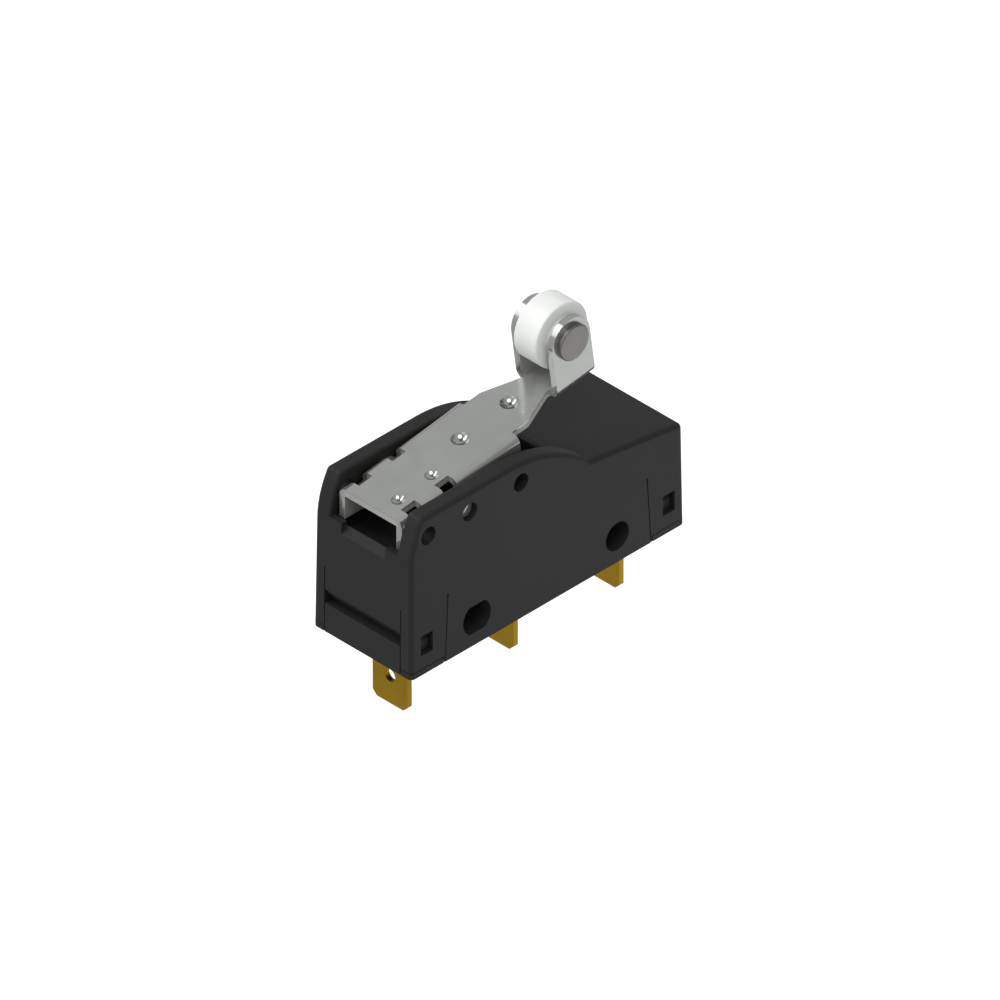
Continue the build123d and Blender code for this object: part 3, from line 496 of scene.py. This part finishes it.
contact_silver = make_finish(
    "contact_silver", drawn_metal, colours=((205, 203, 198), (222, 220, 216)), gloss=(0.22, 0.34),
    bump=0.06, depth=0.00001, metallic=1.0, stretch=(0.6, 0.6, 0.6),
)
print("metals:", plated_sheet.name, turned_pin.name, brass_strip.name, copper_strip.name)

# %% [markdown]
# ## Places where the lever's finish changes
#
# The lever isn't equally bright all over: its inside stayed as matt as it was rolled, and the punch
# that pressed the four dimples has burnished them. Each place could get a material of its own, but
# then its border would have to follow the mesh's faces. A mask that is worked out from the place
# itself can have its border anywhere: it is 1 there and 0 elsewhere. One helper takes a material
# over to another metallic value and roughness where a mask says so, and two more build the masks.

# %% Helpers that change a finish where a mask says so
def refinish(material, mask_group, metallic, roughness):
    tree = material.node_tree
    shader = tree.nodes["Principled BSDF"]
    coordinates = tree.nodes.new("ShaderNodeTexCoord")
    mask = tree.nodes.new("ShaderNodeGroup")
    mask.node_tree = mask_group
    tree.links.new(coordinates.outputs["Object"], mask.inputs["Place"])
    for title, value in (("Metallic", metallic), ("Roughness", roughness)):
        socket = shader.inputs[title]
        blend = tree.nodes.new("ShaderNodeMix")
        blend.inputs["B"].default_value = value
        if socket.is_linked:
            tree.links.new(socket.links[0].from_socket, blend.inputs["A"])
        else:
            blend.inputs["A"].default_value = socket.default_value
        tree.links.new(mask.outputs["Mask"], blend.inputs["Factor"])
        tree.links.new(blend.outputs["Result"], socket)


def step_mask(group, value, off, on, most=1.0):
    ramp = group.nodes.new("ShaderNodeMapRange")
    ramp.inputs["From Min"].default_value = off
    ramp.inputs["From Max"].default_value = on
    ramp.inputs["To Max"].default_value = most
    group.links.new(value, ramp.inputs["Value"])
    return ramp.outputs["Result"]


def combine(group, operation, first, second):
    node = group.nodes.new("ShaderNodeMath")
    node.operation = operation
    group.links.new(first, node.inputs[0])
    group.links.new(second, node.inputs[1])
    return node.outputs["Value"]


print("helpers ready:", refinish.__name__, step_mask.__name__, combine.__name__)

# %% [markdown]
# Two distances tell where a point of the lever lies. One is how far it is off the lever's middle
# plane, to the front or the back. The other is its height once the plate's slope is taken away, so
# that the whole top face of the sloping plate has the same height. A step on each of them then
# picks out a face.

# %% Measure places on the lever
plate_slope = 0.1388
plate_top = 0.02334
matt_inside, enter, leave = new_group(
    "matt_inside", [("Place", "NodeSocketVector", None)], ["Mask"],
)
axes = matt_inside.nodes.new("ShaderNodeSeparateXYZ")
matt_inside.links.new(enter.outputs["Place"], axes.inputs["Vector"])
off_middle = matt_inside.nodes.new("ShaderNodeMath")
off_middle.operation = "ABSOLUTE"
matt_inside.links.new(axes.outputs["Y"], off_middle.inputs[0])
height = matt_inside.nodes.new("ShaderNodeMath")
height.operation = "MULTIPLY_ADD"
height.inputs[1].default_value = -plate_slope
matt_inside.links.new(axes.outputs["X"], height.inputs[0])
matt_inside.links.new(axes.outputs["Z"], height.inputs[2])
away, level = off_middle.outputs["Value"], height.outputs["Value"]
print("mask started:", matt_inside.name)

# %% [markdown]
# Three places are matt: the channel, which lies under the plate and between its two flanges, the
# inner faces of the fork's ears, and, half as much, the top of the neck that leads to the fork.
# Nothing rubs them bright, as a hand and tools do on the outside. Each step gives the value at
# which its mask is still off, and the one at which it is on.

# %% Leave the inside of the channel and the fork matt
neck_share = 0.45
under_plate = step_mask(matt_inside, level, off=plate_top - 0.0002, on=plate_top - 0.0003)
between_flanges = step_mask(matt_inside, away, off=0.00478, on=0.00468)
channel = combine(matt_inside, "MULTIPLY", under_plate, between_flanges)
above_plate = step_mask(matt_inside, level, off=plate_top + 0.0001, on=plate_top + 0.0004)
between_ears = step_mask(matt_inside, away, off=0.00282, on=0.00276)
ears = combine(matt_inside, "MULTIPLY", above_plate, between_ears)
on_plate = step_mask(
    matt_inside, level, off=plate_top + 0.0002, on=plate_top + 0.0001, most=neck_share,
)
neck_width = step_mask(matt_inside, away, off=0.0037, on=0.0035)
neck = combine(matt_inside, "MULTIPLY", on_plate, neck_width)
near_roller = step_mask(matt_inside, axes.outputs["X"], off=-0.0112, on=-0.0082)
neck_or_ears = combine(matt_inside, "MAXIMUM", neck, ears)
fork = combine(matt_inside, "MULTIPLY", near_roller, neck_or_ears)
matt_inside.links.new(combine(matt_inside, "MAXIMUM", channel, fork), leave.inputs["Mask"])
refinish(plated_sheet, matt_inside, metallic=0.35, roughness=0.38)
print("mask:", matt_inside.name, "nodes:", len(matt_inside.nodes))

# %% [markdown]
# The four dimples are cups that a round punch pressed into the plate, two larger ones on its middle
# line and two smaller ones near its left end. The punch left them as smooth as itself, and they
# sparkle. The distance from each cup's centre tells what lies inside it, so the mask is full out to
# the cup's edge and ends just past it.

# %% Burnish the dimples
burnished_spots, enter, leave = new_group(
    "burnished_spots", [("Place", "NodeSocketVector", None)], ["Mask"],
)
dimples = (
    ((-0.01954, 0, 0.02063), 0.0013),
    ((-0.01068, 0, 0.02185), 0.0013),
    ((-0.03285, -0.0021, 0.01878), 0.00095),
    ((-0.02683, -0.0021, 0.01961), 0.00095),
)
past_edge = 1.04
at_edge = 0.98
inside = None
for place, radius in dimples:
    away = burnished_spots.nodes.new("ShaderNodeVectorMath")
    away.operation = "DISTANCE"
    away.inputs[1].default_value = place
    burnished_spots.links.new(enter.outputs["Place"], away.inputs[0])
    near = step_mask(
        burnished_spots, away.outputs["Value"], off=radius * past_edge, on=radius * at_edge,
    )
    inside = near if inside is None else combine(burnished_spots, "MAXIMUM", inside, near)
burnished_spots.links.new(inside, leave.inputs["Mask"])
refinish(plated_sheet, burnished_spots, metallic=1.0, roughness=0.05)
print("burnished dimples:", len(dimples))

# %% [markdown]
# ## Finishes on the solid pieces
#
# Every piece of the solid model gets its finish. The terminals are stamped from brass strip, the
# arms inside are springy copper alloy, the contacts are silver rivets and the springs are drawn
# wire. A piece's material slots are emptied first, because the loaded model comes with plain ones.

# %% Give each solid piece its finish
finish_of_piece = {
    "upper_housing": black_housing,
    "base_plate": black_base,
    "plunger": dark_plunger,
    "roller": white_roller,
    "lever": plated_sheet,
    "roller_axle": turned_pin,
    "bracket_rivets": turned_pin,
    "common_terminal": brass_strip,
    "normally_open_terminal": brass_strip,
    "normally_closed_terminal": brass_strip,
    "driver_bracket": brass_strip,
    "driver_arm": copper_strip,
    "contact_arm": copper_strip,
    "moving_contact": contact_silver,
    "normally_open_contact": contact_silver,
    "normally_closed_contact": contact_silver,
    "snap_spring": spring_wire,
    "return_spring": spring_wire,
}
for title, piece in frame["nodes"].items():
    piece.data.materials.clear()
    piece.data.materials.append(finish_of_piece[title])
print("finished pieces:", len(finish_of_piece))

# %% [markdown]
# ## Smooth skins for the curved pieces
#
# The solid model arrives as loose triangles, so its round faces look cut. More triangles would
# help, but never quite. Copies of the pieces that show are merged into closed meshes instead, and
# their shading is made smooth wherever two faces meet at a small angle and left crisp at real
# edges. The large faces then get the most say in the normals, so that a flat face stays flat right
# up to the small round beside it. The copy stands for the solid piece from then on.

# %% Find the body of each piece
body_of_piece = {
    title: body
    for body, members in frame["record"]["behaviour"]["bodies"].items()
    for title in members
}

# %% [markdown]
# The steps are the ones that a hand would take: duplicate the piece, merge its points in edit mode,
# shade it smooth by angle, and apply a Weighted Normal modifier.

# %% Make a smooth skin for each piece that shows
merge_distance = 0.0000005


def smooth_skin(title, angle=28):
    solid = frame["nodes"][title]
    bpy.ops.object.select_all(action="DESELECT")
    solid.select_set(True)
    bpy.context.view_layer.objects.active = solid
    bpy.ops.object.duplicate()
    skin = bpy.context.object
    skin.parent = None
    for key_name in list(skin.keys()):
        del skin[key_name]
    skin.name = title + "_skin"
    bpy.ops.object.mode_set(mode="EDIT")
    bpy.ops.mesh.select_all(action="SELECT")
    bpy.ops.mesh.remove_doubles(threshold=merge_distance)
    bpy.ops.object.mode_set(mode="OBJECT")
    if skin.data.has_custom_normals:
        bpy.ops.mesh.customdata_custom_splitnormals_clear()
    bpy.ops.object.shade_smooth_by_angle(angle=math.radians(angle))
    bpy.ops.object.modifier_add(type="WEIGHTED_NORMAL")
    skin.modifiers[-1].keep_sharp = True
    bpy.ops.object.modifier_apply(modifier=skin.modifiers[-1].name)
    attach(skin, body_of_piece[title])
    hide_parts(title)
    return skin


skins = {}
for title in ("upper_housing", "base_plate", "lever", "roller", "roller_axle", "plunger"):
    skins[title] = smooth_skin(title)
    print(skins[title].name, "has", len(skins[title].data.polygons), "faces")

# %% [markdown]
# ## The coil under the driver arm
#
# Inside the housing a small compression coil stands under the driver arm and pushes it back up. The
# solid coil can't get shorter, so the arm and the plunger would cut through it when the lever goes
# down. A smooth copy of it, with a mesh of its own, takes its place.

# %% Give the return spring a smooth copy with a mesh of its own
skins["return_spring"] = smooth_skin("return_spring")
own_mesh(skins["return_spring"])

# %% [markdown]
# ## The roller's rim
#
# The solid roller has a generous round at its rim, where the real one is nearly crisp. A new roller
# could be spun from a profile, but the copy has all the rest right. Each point of its round lies at
# some angle round the round's own centre, so it keeps that angle and moves onto a smaller round in
# the same corner. First the roller's own sizes are measured from its points.

# %% Measure the roller
roller = skins["roller"]
points = [vertex.co for vertex in roller.data.vertices]
low = Vector([min(point[axis] for point in points) for axis in range(3)])
high = Vector([max(point[axis] for point in points) for axis in range(3)])
centre = (low + high) / 2
reach = (high.x - low.x) / 2
outer_share = 0.85
rim_points = [
    point for point in points
    if math.hypot(point.x - centre.x, point.z - centre.z) > reach * outer_share
]
rim_half = max(abs(point.y - centre.y) for point in rim_points)
print("roller:", round(reach * 2000, 2), "mm across, rim", round(rim_half * 2000, 2), "mm wide")

# %% [markdown]
# A point belongs to the round if it lies past the round's centre both outwards and sideways. Its
# rise and run from that centre give the angle.

# %% Crisp the roller's rim
old_round = 0.0006
new_round = 0.00022
touch = 1e-7
moved = 0
for vertex in roller.data.vertices:
    out = Vector((vertex.co.x - centre.x, 0, vertex.co.z - centre.z))
    across = vertex.co.y - centre.y
    side = math.copysign(1, across)
    rise = out.length - (reach - old_round)
    run = abs(across) - (rim_half - old_round)
    if rise > -touch and run > -touch:
        angle = math.atan2(rise, run)
        radius = reach - new_round + new_round * math.sin(angle)
        half = rim_half - new_round + new_round * math.cos(angle)
        vertex.co = centre + out.normalized() * radius + Vector((0, side * half, 0))
        moved += 1
print("rim points moved:", moved)

# %% [markdown]
# ## Finish
#
# The last step notes the size of the dressed object beside that of the solid model.

# %% Note the sizes
dressed_box = [list(corner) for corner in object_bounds()]
for axis, name in enumerate("XYZ"):
    solid_size = solid_box[1][axis] - solid_box[0][axis]
    dressed_size = dressed_box[1][axis] - dressed_box[0][axis]
    print(name, "differs by", round((dressed_size - solid_size) * 1000, 3), "mm")
